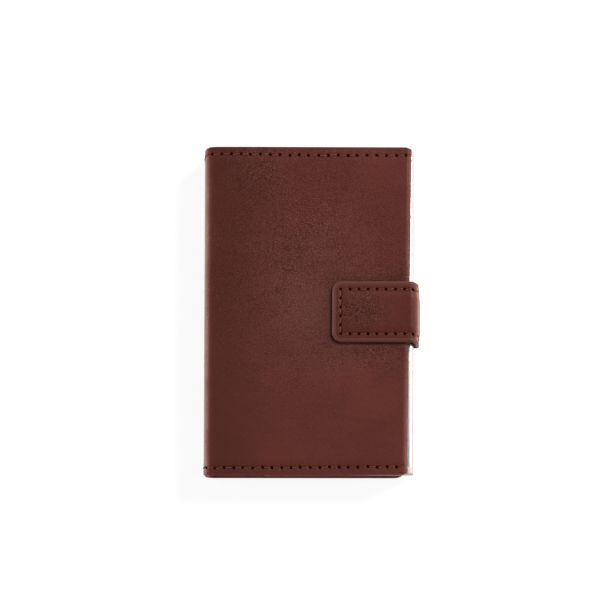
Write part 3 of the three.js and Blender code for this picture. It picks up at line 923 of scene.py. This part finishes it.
class WALLET_OT_linings(bpy.types.Operator):
    """Builds the linings of the back, spine and cover, and the card slot panels"""

    bl_idname = "wallet.linings"
    bl_label = "Linings and card slots"

    def execute(self, context):
        leather, hide = settings("leather"), skins("lining leather")
        middle = COVER_TOP / 2
        face_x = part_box("spine_lining")[1].x
        thickness = face_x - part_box("spine_lining")[0].x

        low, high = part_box("back_lining")
        radius = low.x - face_x
        line = FoldLine(face_x, middle, -90).run(middle - high.z - radius).turn(radius, 90)
        line.run(high.x - low.x)
        bend = (line.start_of(1), line.start_of(1) + 2 * radius)
        sheet = lining_sheet(line, high.y, thickness, (False, True), bend)
        back = sheet.made("lining_back", line.placer(), hide)
        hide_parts("back_lining", "spine_lining")
        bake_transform(back)

        low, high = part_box("cover_lining")
        radius = low.x - face_x
        line = FoldLine(high.x, low.z, 180).run(high.x - low.x).turn(radius, 90)
        line.run(low.z - radius - middle)
        bend = (line.start_of(1), line.start_of(1) + 2 * radius)
        sheet = lining_sheet(line, high.y, thickness, (True, False), bend)
        front = sheet.made("lining_front", line.placer(settle_cover), hide)
        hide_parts("cover_lining", "spine_lining")
        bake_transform(front)

        for node in ("slot_panel_rear", "slot_panel_front"):
            low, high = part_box(node)
            line = FoldLine(high.x, low.z, 180).run(high.x - low.x)
            sheet = lining_sheet(line, high.y, high.z - low.z, (True, True))
            from_mouth = line.length - sheet.along
            sheet.press(from_mouth - 1.6 * MM, width=0.25 * MM, depth=0.12 * MM)
            panel = sheet.made(node + "_leather", line.placer(settle_cover), hide)
            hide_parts(node)
            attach(panel, "cover")
        return {"FINISHED"}


# Strap

# How the strap lies askew: its tab high and its side low, and the height from which it counts as the tab
TAB_RISE = 0.2 * MM
SIDE_DROP = 0.45 * MM
TAB_HEIGHTS = (12 * MM, 17 * MM)

# How far the face sinks at the stitched rim, and between which distances from the cut edge it rises
RIM_SINK = 0.3 * MM
RIM_REACH = (2.6 * MM, 4.8 * MM)

# The holes across the tab's end, and their turn from the strap's length
COLUMN_HOLES = 6
COLUMN_SLANT = math.radians(58)

# Where the tab's grain is open from handling, from the tab's end and its middle line, in millimetres
HANDLED = (8.5, 1, 7.5, 6.5)


def strap_line():
    radius = settings("strap").bend_radius
    line = FoldLine(TAB_END_X, STRAP_TOP, 0)
    line.run(STRAP_X - radius - TAB_END_X).turn(radius, -90)
    line.run(STRAP_TOP - ROOT_Z - 2 * radius).turn(radius, -90)
    return line.run(STRAP_X - radius - ROOT_X)


def strap_holes(line):
    """Places of the strap's holes: along its two rows, and across the tab's end from row to row."""
    stitching = settings("stitching")
    half = (TAB_HIGH - TAB_LOW) / 2 - stitching.strap_inset
    count = int((line.length - HOLE_TO_HIDDEN_END - stitching.strap_inset) / stitching.strap_pitch)
    rows = [stitching.strap_inset + stitching.strap_pitch * i + 0.7 * unevenness(i) for i in range(count + 1)]
    return rows, [half * (1.0 - 2.0 * i / (COLUMN_HOLES - 1)) for i in range(COLUMN_HOLES)]


def settle_strap(points):
    """The strap as it lies, a little askew."""
    points = points.copy()
    radius = settings("strap").bend_radius
    side = smooth((points[:, 0] - (STRAP_X - radius)) / radius)
    tab = ramp(points[:, 2], *TAB_HEIGHTS) * (1.0 - side)
    points[:, 1] += (TAB_HIGH + TAB_LOW) / 2 + TAB_RISE * tab - SIDE_DROP * side
    return points


def strap_sheet(line, start, end, free):
    """Part of the strap, flat, with its edges worked, a creased line inside them, and its seams."""
    strap, stitching = settings("strap"), settings("stitching")
    rows, column = strap_holes(line)
    columns = spaced(start, end, stitching.strap_pitch / COLUMNS_PER_STITCH, rows[0], STRAP_ROWS, free)
    half = column[0] + stitching.strap_inset
    sheet = Sheet(columns, edge_rows(half, STRAP_ROWS, 0.3 * MM), strap.thickness)
    sheet.round_off(free, strap.corner, strap.edge_round, 0.1 * MM)
    sheet.lift -= RIM_SINK * (1.0 - ramp(sheet.away, *RIM_REACH))
    sheet.press(sheet.away - stitching.strap_inset, width=0.45 * MM, depth=0.12 * MM)
    sheet.press(sheet.away - 1.35 * MM, width=0.22 * MM, depth=0.09 * MM)
    sheet.masks["edge"] = sheet.on_face(1.0 - ramp(sheet.away, 0.7 * MM, 1.5 * MM))
    # The strap's outer bend, where it is seen edge-on, gets a painted highlight
    lit_bend = line.start_of(1) + 3.2 * MM
    sheet.masks["polish"] = hump(sheet.along - lit_bend, 1.3 * MM)
    sheet.masks["grain"] = np.full(len(sheet.along), 0.2)
    sides = (column[0], column[-1])
    holes = [(along, side, stitching.slant) for along in rows for side in sides if start <= along < end]
    if free[0]:
        holes += [(rows[0], across, COLUMN_SLANT) for across in column[1:-1]]
    sheet.punch(holes, length=1.2 * MM, width=0.8 * MM, depth=0.5 * MM)
    return sheet


class WALLET_OT_strap(bpy.types.Operator):
    """Builds the strap in its two lengths, with its lining"""

    bl_idname = "wallet.strap"
    bl_label = "Strap"

    def execute(self, context):
        strap = settings("strap")
        fold_x = STRAP_X - strap.bend_radius
        line = strap_line()
        middle = line.middle_of(2)

        sheet = strap_sheet(line, 0.0, middle, (True, False))
        sheet.ripple(middle, **TAB_RIPPLE)
        handled = patch(sheet.along, sheet.across, HANDLED)
        sheet.masks["grain"] += 1.3 * handled
        # The tab is a little darker where its grain is open
        sheet.masks["wear"] = sheet.on_face(0.25 * handled)
        upper = sheet.made("strap_upper", line.placer(settle_strap), skins("strap leather"))
        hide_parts("strap_side_leather", "strap_tab_leather")
        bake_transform(upper)

        sheet = strap_sheet(line, middle, line.length, (False, True))
        lower = sheet.made("strap_lower", line.placer(settle_strap), skins("strap leather", "lining leather"))
        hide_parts("strap_root", "strap_side_leather")
        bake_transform(lower)

        low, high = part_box("strap_tab_lining")
        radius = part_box("strap_side_lining")[1].x - fold_x - strap.lining
        part = radius * math.sqrt(0.5)
        line = FoldLine(fold_x + part, ROOT_Z + strap.bend_radius - part, 45)
        line.turn(radius, 45).run(STRAP_TOP - ROOT_Z - 2 * strap.bend_radius)
        line.turn(radius, 90).run(fold_x - low.x)
        columns = spaced(0.0, line.length, 0.4 * MM, edges=EDGE_STEPS[:4], free=(True, True))
        sheet = Sheet(columns, edge_rows((high.y - low.y) / 2, EDGE_STEPS, 1.5 * MM), strap.lining)
        sheet.round_off((False, True), strap.corner - 0.4 * MM, 0.15 * MM, 0.1 * MM)
        lining = sheet.made("strap_lining", line.placer(settle_strap), skins("lining leather"))
        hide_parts("strap_side_lining", "strap_tab_lining")
        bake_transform(lining)
        return {"FINISHED"}


# Thread

# How far the ends of a stitch are from the middles of its holes, along the seam and across it
STITCH_END = 0.3 * MM
STITCH_SLOPE = 0.2 * MM
COLUMN_STITCH_END = 0.34 * MM
COLUMN_STITCH_SLOPE = 0.12 * MM

# Lift of the thread off the flat face of each sheet, how far it goes down into a hole, and its bow
COVER_THREAD_LIFT = -0.1 * MM
BACK_THREAD_LIFT = -0.28 * MM
STRAP_THREAD_LIFT = -0.42 * MM
HOLE_SINK = 0.3 * MM
STITCH_BOW = 0.04 * MM

# Stitches are only laid between holes closer than this
LONGEST_STITCH = 4 * MM


class Thread:
    """The stitches of one seam, laid flat hole by hole, and then folded with the sheet they hold."""

    STEPS, SIDES = 12, 8

    def __init__(self):
        self.bm = bmesh.new()
        bmesh.ops.create_grid(self.bm, x_segments=self.STEPS, y_segments=self.SIDES, size=0.5)
        share = grid_shares(self.bm)
        self.share = share[:, 0]
        self.turn = 2 * math.pi * share[:, 1]
        self.pattern = self.bm.verts[:] + self.bm.edges[:] + self.bm.faces[:]
        self.radius = settings("stitching").thread / 2
        self.flat = []

    def lay(self, start, end, lift):
        """One stitch from hole to hole: it comes up, lies across, and goes down again."""
        if self.flat:
            bmesh.ops.duplicate(self.bm, geom=self.pattern)
        step = np.array(end) - np.array(start)
        length = float(np.hypot(*step))
        side = np.array([-step[1], step[0]]) / length
        near = np.minimum(self.share, 1.0 - self.share)
        slim = np.clip(1.0 - (2.0 * np.abs(self.share - 0.5)) ** 10, 0.0, 1.0) ** 0.5
        up = (HOLE_SINK + 0.35 * self.radius) * smooth(near / 0.2)
        rise = lift - HOLE_SINK + up + STITCH_BOW * np.sin(math.pi * self.share)
        around = self.radius * slim
        spread = around * np.cos(self.turn)
        along, across = (start[i] + step[i] * self.share + spread * side[i] for i in (0, 1))
        self.flat.append((along, across, rise + around * np.sin(self.turn), self.share * length))

    def lay_row(self, holes, across, lift):
        """Stitches along a seam: each leaves low beside one hole and enters high beside the next."""
        for hole, following in zip(holes, holes[1:]):
            if following - hole <= LONGEST_STITCH:
                end = (following - STITCH_END, across + STITCH_SLOPE)
                self.lay((hole + STITCH_END, across - STITCH_SLOPE), end, lift)

    def made(self, name, place):
        """The thread as an object. place turns flat points into points on the wallet."""
        along, across, lift, run = (np.concatenate(values) for values in zip(*self.flat))
        for vert, point in zip(self.bm.verts, place(along, across, lift)):
            vert.co = point
        plies, turn_share = 6.0, 0.25
        turn = np.tile(self.turn, len(self.flat)) * turn_share
        mesh = bpy.data.meshes.new(name)
        uv = self.bm.loops.layers.uv.new("hide")
        self.bm.verts.index_update()
        for face in self.bm.faces:
            for loop in face.loops:
                index = loop.vert.index
                loop[uv].uv = (run[index] / MM * plies, turn[index] * plies)
        bmesh.ops.remove_doubles(self.bm, verts=self.bm.verts[:], dist=WELD)
        bmesh.ops.recalc_face_normals(self.bm, faces=self.bm.faces[:])
        self.bm.to_mesh(mesh)
        self.bm.free()
        return finished(name, mesh, [get_materials()["thread"]], sharp=80)


def split_at(holes, middle):
    """The holes up to this middle, and those past it. The last one before it is in both."""
    split = max(i for i, along in enumerate(holes) if along <= middle)
    return holes[: split + 1], holes[split:]


class WALLET_OT_stitching(bpy.types.Operator):
    """Lays the thread of every seam"""

    bl_idname = "wallet.stitching"
    bl_label = "Stitching"

    def execute(self, context):
        leather, strap = settings("leather"), settings("strap")
        line = jacket_line()
        middle = line_marks(line)["middle"]
        thread = Thread()
        for across, outside, _ in jacket_rows(line, BACK_HALF):
            thread.lay_row(split_at(outside, middle)[0], across, BACK_THREAD_LIFT)
        back = thread.made("thread_back", line.placer(draw=drawn_in(line, BACK_HALF)))
        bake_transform(back)

        thread = Thread()
        for across, outside, inside in jacket_rows(line, COVER_HALF):
            thread.lay_row(split_at(outside, middle)[1], across, COVER_THREAD_LIFT)
            thread.lay_row(inside, across, COVER_THREAD_LIFT)
        front = thread.made("thread_front", line.placer(settle_cover, drawn_in(line)))
        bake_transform(front)

        line = strap_line()
        rows, column = strap_holes(line)
        upper_row, lower_row = split_at(rows, line.middle_of(2))
        thread = Thread()
        for side in (column[0], column[-1]):
            thread.lay_row(upper_row, side, STRAP_THREAD_LIFT)
        for high, low in zip(column, column[1:]):
            first = (rows[0] + COLUMN_STITCH_SLOPE, high - COLUMN_STITCH_END)
            thread.lay(first, (rows[0] - COLUMN_STITCH_SLOPE, low + COLUMN_STITCH_END), STRAP_THREAD_LIFT)
        upper = thread.made("thread_strap_upper", line.placer(settle_strap))
        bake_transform(upper)

        thread = Thread()
        for side in (column[0], column[-1]):
            thread.lay_row(lower_row, side, STRAP_THREAD_LIFT)
        lower = thread.made("thread_strap_lower", line.placer(settle_strap))
        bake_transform(lower)
        return {"FINISHED"}


# Card case and the parts inside

# In degrees: edges turned further than this are eased, and faces turned less than that are joined
SHARP_ANGLE = 30
FLAT_ANGLE = 1

# Pieces of the card case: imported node, name, material, eased width in millimetres, slot, body
CASE_PIECES = (
    ("case_shell", "case_tube", "satin aluminium", 0.15, "aluminium", "back"),
    ("case_base", "case_end", "pale plastic", 0.12, "pale_plastic", "back"),
    ("card_pusher", "pusher_arm", "moulded plastic", 0.1, "black_plastic", "pusher"),
    ("card_guide_left", "guide_left", "moulded plastic", 0.06, "black_plastic", "back"),
    ("card_guide_right", "guide_right", "moulded plastic", 0.06, "black_plastic", "back"),
)

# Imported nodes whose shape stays, with their materials
INNER_FINISHES = {
    "back_board": "board",
    "cover_stiffener": "board",
    "case_pad": "adhesive",
    "cover_magnet": "steel",
    "tab_keeper": "steel",
    "pivot_pin": "steel",
}


def eased(node, name, material, width, body):
    """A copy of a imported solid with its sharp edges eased."""
    bm = bmesh.new()
    bm.from_mesh(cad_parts[node].data)
    bmesh.ops.remove_doubles(bm, verts=bm.verts[:], dist=WELD)
    limit, sharp = math.radians(FLAT_ANGLE), math.radians(SHARP_ANGLE)
    bmesh.ops.dissolve_limit(bm, angle_limit=limit, verts=bm.verts[:], edges=bm.edges[:])
    edges = [e for e in bm.edges if len(e.link_faces) == 2 and e.calc_face_angle(0.0) > sharp]
    bmesh.ops.bevel(
        bm, geom=edges, offset=width, offset_type="OFFSET", segments=2, profile=0.5, affect="EDGES",
        material=-1, clamp_overlap=True,
    )
    mesh = bpy.data.meshes.new(name)
    bm.to_mesh(mesh)
    bm.free()
    made = finished(name, mesh, [material])
    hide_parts(node)
    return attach(made, body)


class WALLET_OT_card_case(bpy.types.Operator):
    """Builds the card case, its base, guides and pusher"""

    bl_idname = "wallet.card_case"
    bl_label = "Card case"

    def execute(self, context):
        for node, name, material, width, slot, body in CASE_PIECES:
            eased(node, name, get_materials()[material], width * MM, body)
        return {"FINISHED"}


class WALLET_OT_inner_parts(bpy.types.Operator):
    """Gives the boards, pad, magnet, keeper and pin their materials"""

    bl_idname = "wallet.inner_parts"
    bl_label = "Inner parts"

    def execute(self, context):
        for node, finish in INNER_FINISHES.items():
            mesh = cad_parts[node].data
            mesh.materials.clear()
            mesh.materials.append(get_materials()[finish])
        return {"FINISHED"}


# Stage

WHITE = (1.0, 1.0, 1.0, 1.0)

# The floor's grey in the light, its grey where the camera sees it, and how strongly it glows there
FLOOR_COLOR = (0.75, 0.75, 0.75, 1.0)
SEEN_FLOOR_COLOR = (0.22, 0.22, 0.22, 1.0)
FLOOR_GLOW = 0.88
FLOOR_RADIUS = 3.0

# The studio is white at the horizon and dark overhead, between these heights
OVERHEAD_COLOR = (0.12, 0.12, 0.12, 1.0)
HORIZON_HEIGHTS = (0.1, 0.65)

# Each softbox by its place and its width and height, in metres
SOFTBOXES = {
    "right": ((1.1, 0.1, 0.11), (1.0, 0.2)),
    "left": ((-1.1, 0.1, 0.11), (1.0, 0.2)),
    "above": ((0.75, 0.55, 1.1), (0.45, 0.45)),
}

# The camera's sensor in millimetres, and how far it sees in metres
SENSOR_WIDTH = 36.0
FARTHEST_SEEN = 20.0


def place_softbox(name, place, size, power):
    lamp = bpy.data.lights.new(name, "AREA")
    lamp.shape = "RECTANGLE"
    lamp.size, lamp.size_y = size
    lamp.energy = power
    made = bpy.data.objects.new(name, lamp)
    made.location = place
    made.rotation_euler = (-Vector(place)).to_track_quat("-Z", "Y").to_euler()
    bpy.context.scene.collection.objects.link(made)


def lay_floor():
    """A pale round floor with a shadow. Camera and mirrors see it near white, and it is clear from below."""
    bm = bmesh.new()
    bmesh.ops.create_circle(bm, cap_ends=True, segments=96, radius=FLOOR_RADIUS)
    mesh = bpy.data.meshes.new("floor")
    bm.to_mesh(mesh)
    bm.free()
    material = bpy.data.materials.new("pale floor")
    material.use_nodes = True
    material.node_tree.nodes.clear()
    g = Graph(material.node_tree)
    rays = g.add("LightPath").outputs
    seen = g.math("MAXIMUM", rays["Is Camera Ray"], rays["Is Glossy Ray"])
    plain = g.add("BsdfDiffuse", {"Color": FLOOR_COLOR}).outputs[0]
    dim = g.add("BsdfDiffuse", {"Color": SEEN_FLOOR_COLOR}).outputs[0]
    glow = g.add("Emission", {"Color": WHITE, "Strength": FLOOR_GLOW}).outputs[0]
    white = g.add("AddShader", {0: dim, 1: glow}).outputs[0]
    mixed = g.add("MixShader", {0: seen, 1: plain, 2: white}).outputs[0]
    below, clear = g.add("NewGeometry").outputs["Backfacing"], g.add("BsdfTransparent").outputs[0]
    g.add("OutputMaterial", {"Surface": g.add("MixShader", {0: below, 1: mixed, 2: clear}).outputs[0]})
    floor = bpy.data.objects.new("floor", mesh)
    mesh.materials.append(material)
    bpy.context.scene.collection.objects.link(floor)


def light_world(scene):
    scene.world = bpy.data.worlds.new("studio")
    scene.world.use_nodes = True
    scene.world.node_tree.nodes.clear()
    g = Graph(scene.world.node_tree)
    is_seen = g.add("LightPath").outputs["Is Camera Ray"]
    height = g.add("SeparateXYZ", {0: g.add("TexCoord").outputs["Generated"]}).outputs["Z"]
    around = g.mix(g.remap(height, *HORIZON_HEIGHTS), WHITE, OVERHEAD_COLOR)
    background = g.add("Background", {"Color": g.mix(is_seen, around, WHITE), "Strength": 1.0}).outputs[0]
    g.add("OutputWorld", {"Surface": background})


def set_camera(scene, stage):
    camera = bpy.data.cameras.new("camera")
    camera.sensor_width = SENSOR_WIDTH
    camera.lens = SENSOR_WIDTH * stage.distance / stage.view_width
    camera.clip_end = FARTHEST_SEEN
    made = bpy.data.objects.new("camera", camera)
    toward = Vector((math.tan(stage.aside), -math.tan(stage.below), 1.0)).normalized()
    right = Vector((0.0, 1.0, 0.0)).cross(toward).normalized()
    turned = Matrix((right, toward.cross(right), toward)).transposed().to_4x4()
    turned = turned @ Matrix.Rotation(stage.roll, 4, "Z")
    made.matrix_world = Matrix.Translation(Vector(stage.aim) + toward * stage.distance) @ turned
    scene.collection.objects.link(made)
    scene.camera = made


class WALLET_OT_stage(bpy.types.Operator):
    """Sets the floor, the lamps, the background and the camera"""

    bl_idname = "wallet.stage"
    bl_label = "Stage"

    def execute(self, context):
        stage = settings("stage")
        lay_floor()
        light_world(context.scene)
        for name, (place, size) in SOFTBOXES.items():
            place_softbox("softbox " + name, place, size, getattr(stage, name))
        set_camera(context.scene, stage)
        context.scene.view_settings.view_transform = "Standard"
        return {"FINISHED"}


STEPS = [
    WALLET_OT_jacket,
    WALLET_OT_linings,
    WALLET_OT_strap,
    WALLET_OT_stitching,
    WALLET_OT_card_case,
    WALLET_OT_inner_parts,
    WALLET_OT_stage,
]


class WALLET_PT_panel(bpy.types.Panel):
    """Lists the steps that dress the wallet"""

    bl_idname = "WALLET_PT_panel"
    bl_label = "Wallet"
    bl_space_type = "VIEW_3D"
    bl_region_type = "UI"
    bl_category = "Wallet"

    def draw(self, context):
        for step in STEPS:
            self.layout.operator(step.bl_idname)


SETTINGS = {
    "wallet_leather": WalletLeather,
    "wallet_stitching": WalletStitching,
    "wallet_strap": WalletStrap,
    "wallet_stage": WalletStage,
}


def register():
    for name, group in SETTINGS.items():
        bpy.utils.register_class(group)
        setattr(bpy.types.Scene, name, bpy.props.PointerProperty(type=group))
    for step in STEPS:
        bpy.utils.register_class(step)
    bpy.utils.register_class(WALLET_PT_panel)


def unregister():
    bpy.utils.unregister_class(WALLET_PT_panel)
    for step in reversed(STEPS):
        bpy.utils.unregister_class(step)
    for name, group in reversed(SETTINGS.items()):
        delattr(bpy.types.Scene, name)
        bpy.utils.unregister_class(group)


def main():
    register()
    for step in STEPS:
        group, name = step.bl_idname.split(".")
        getattr(getattr(bpy.ops, group), name)()


if __name__ == "__main__":
    main()
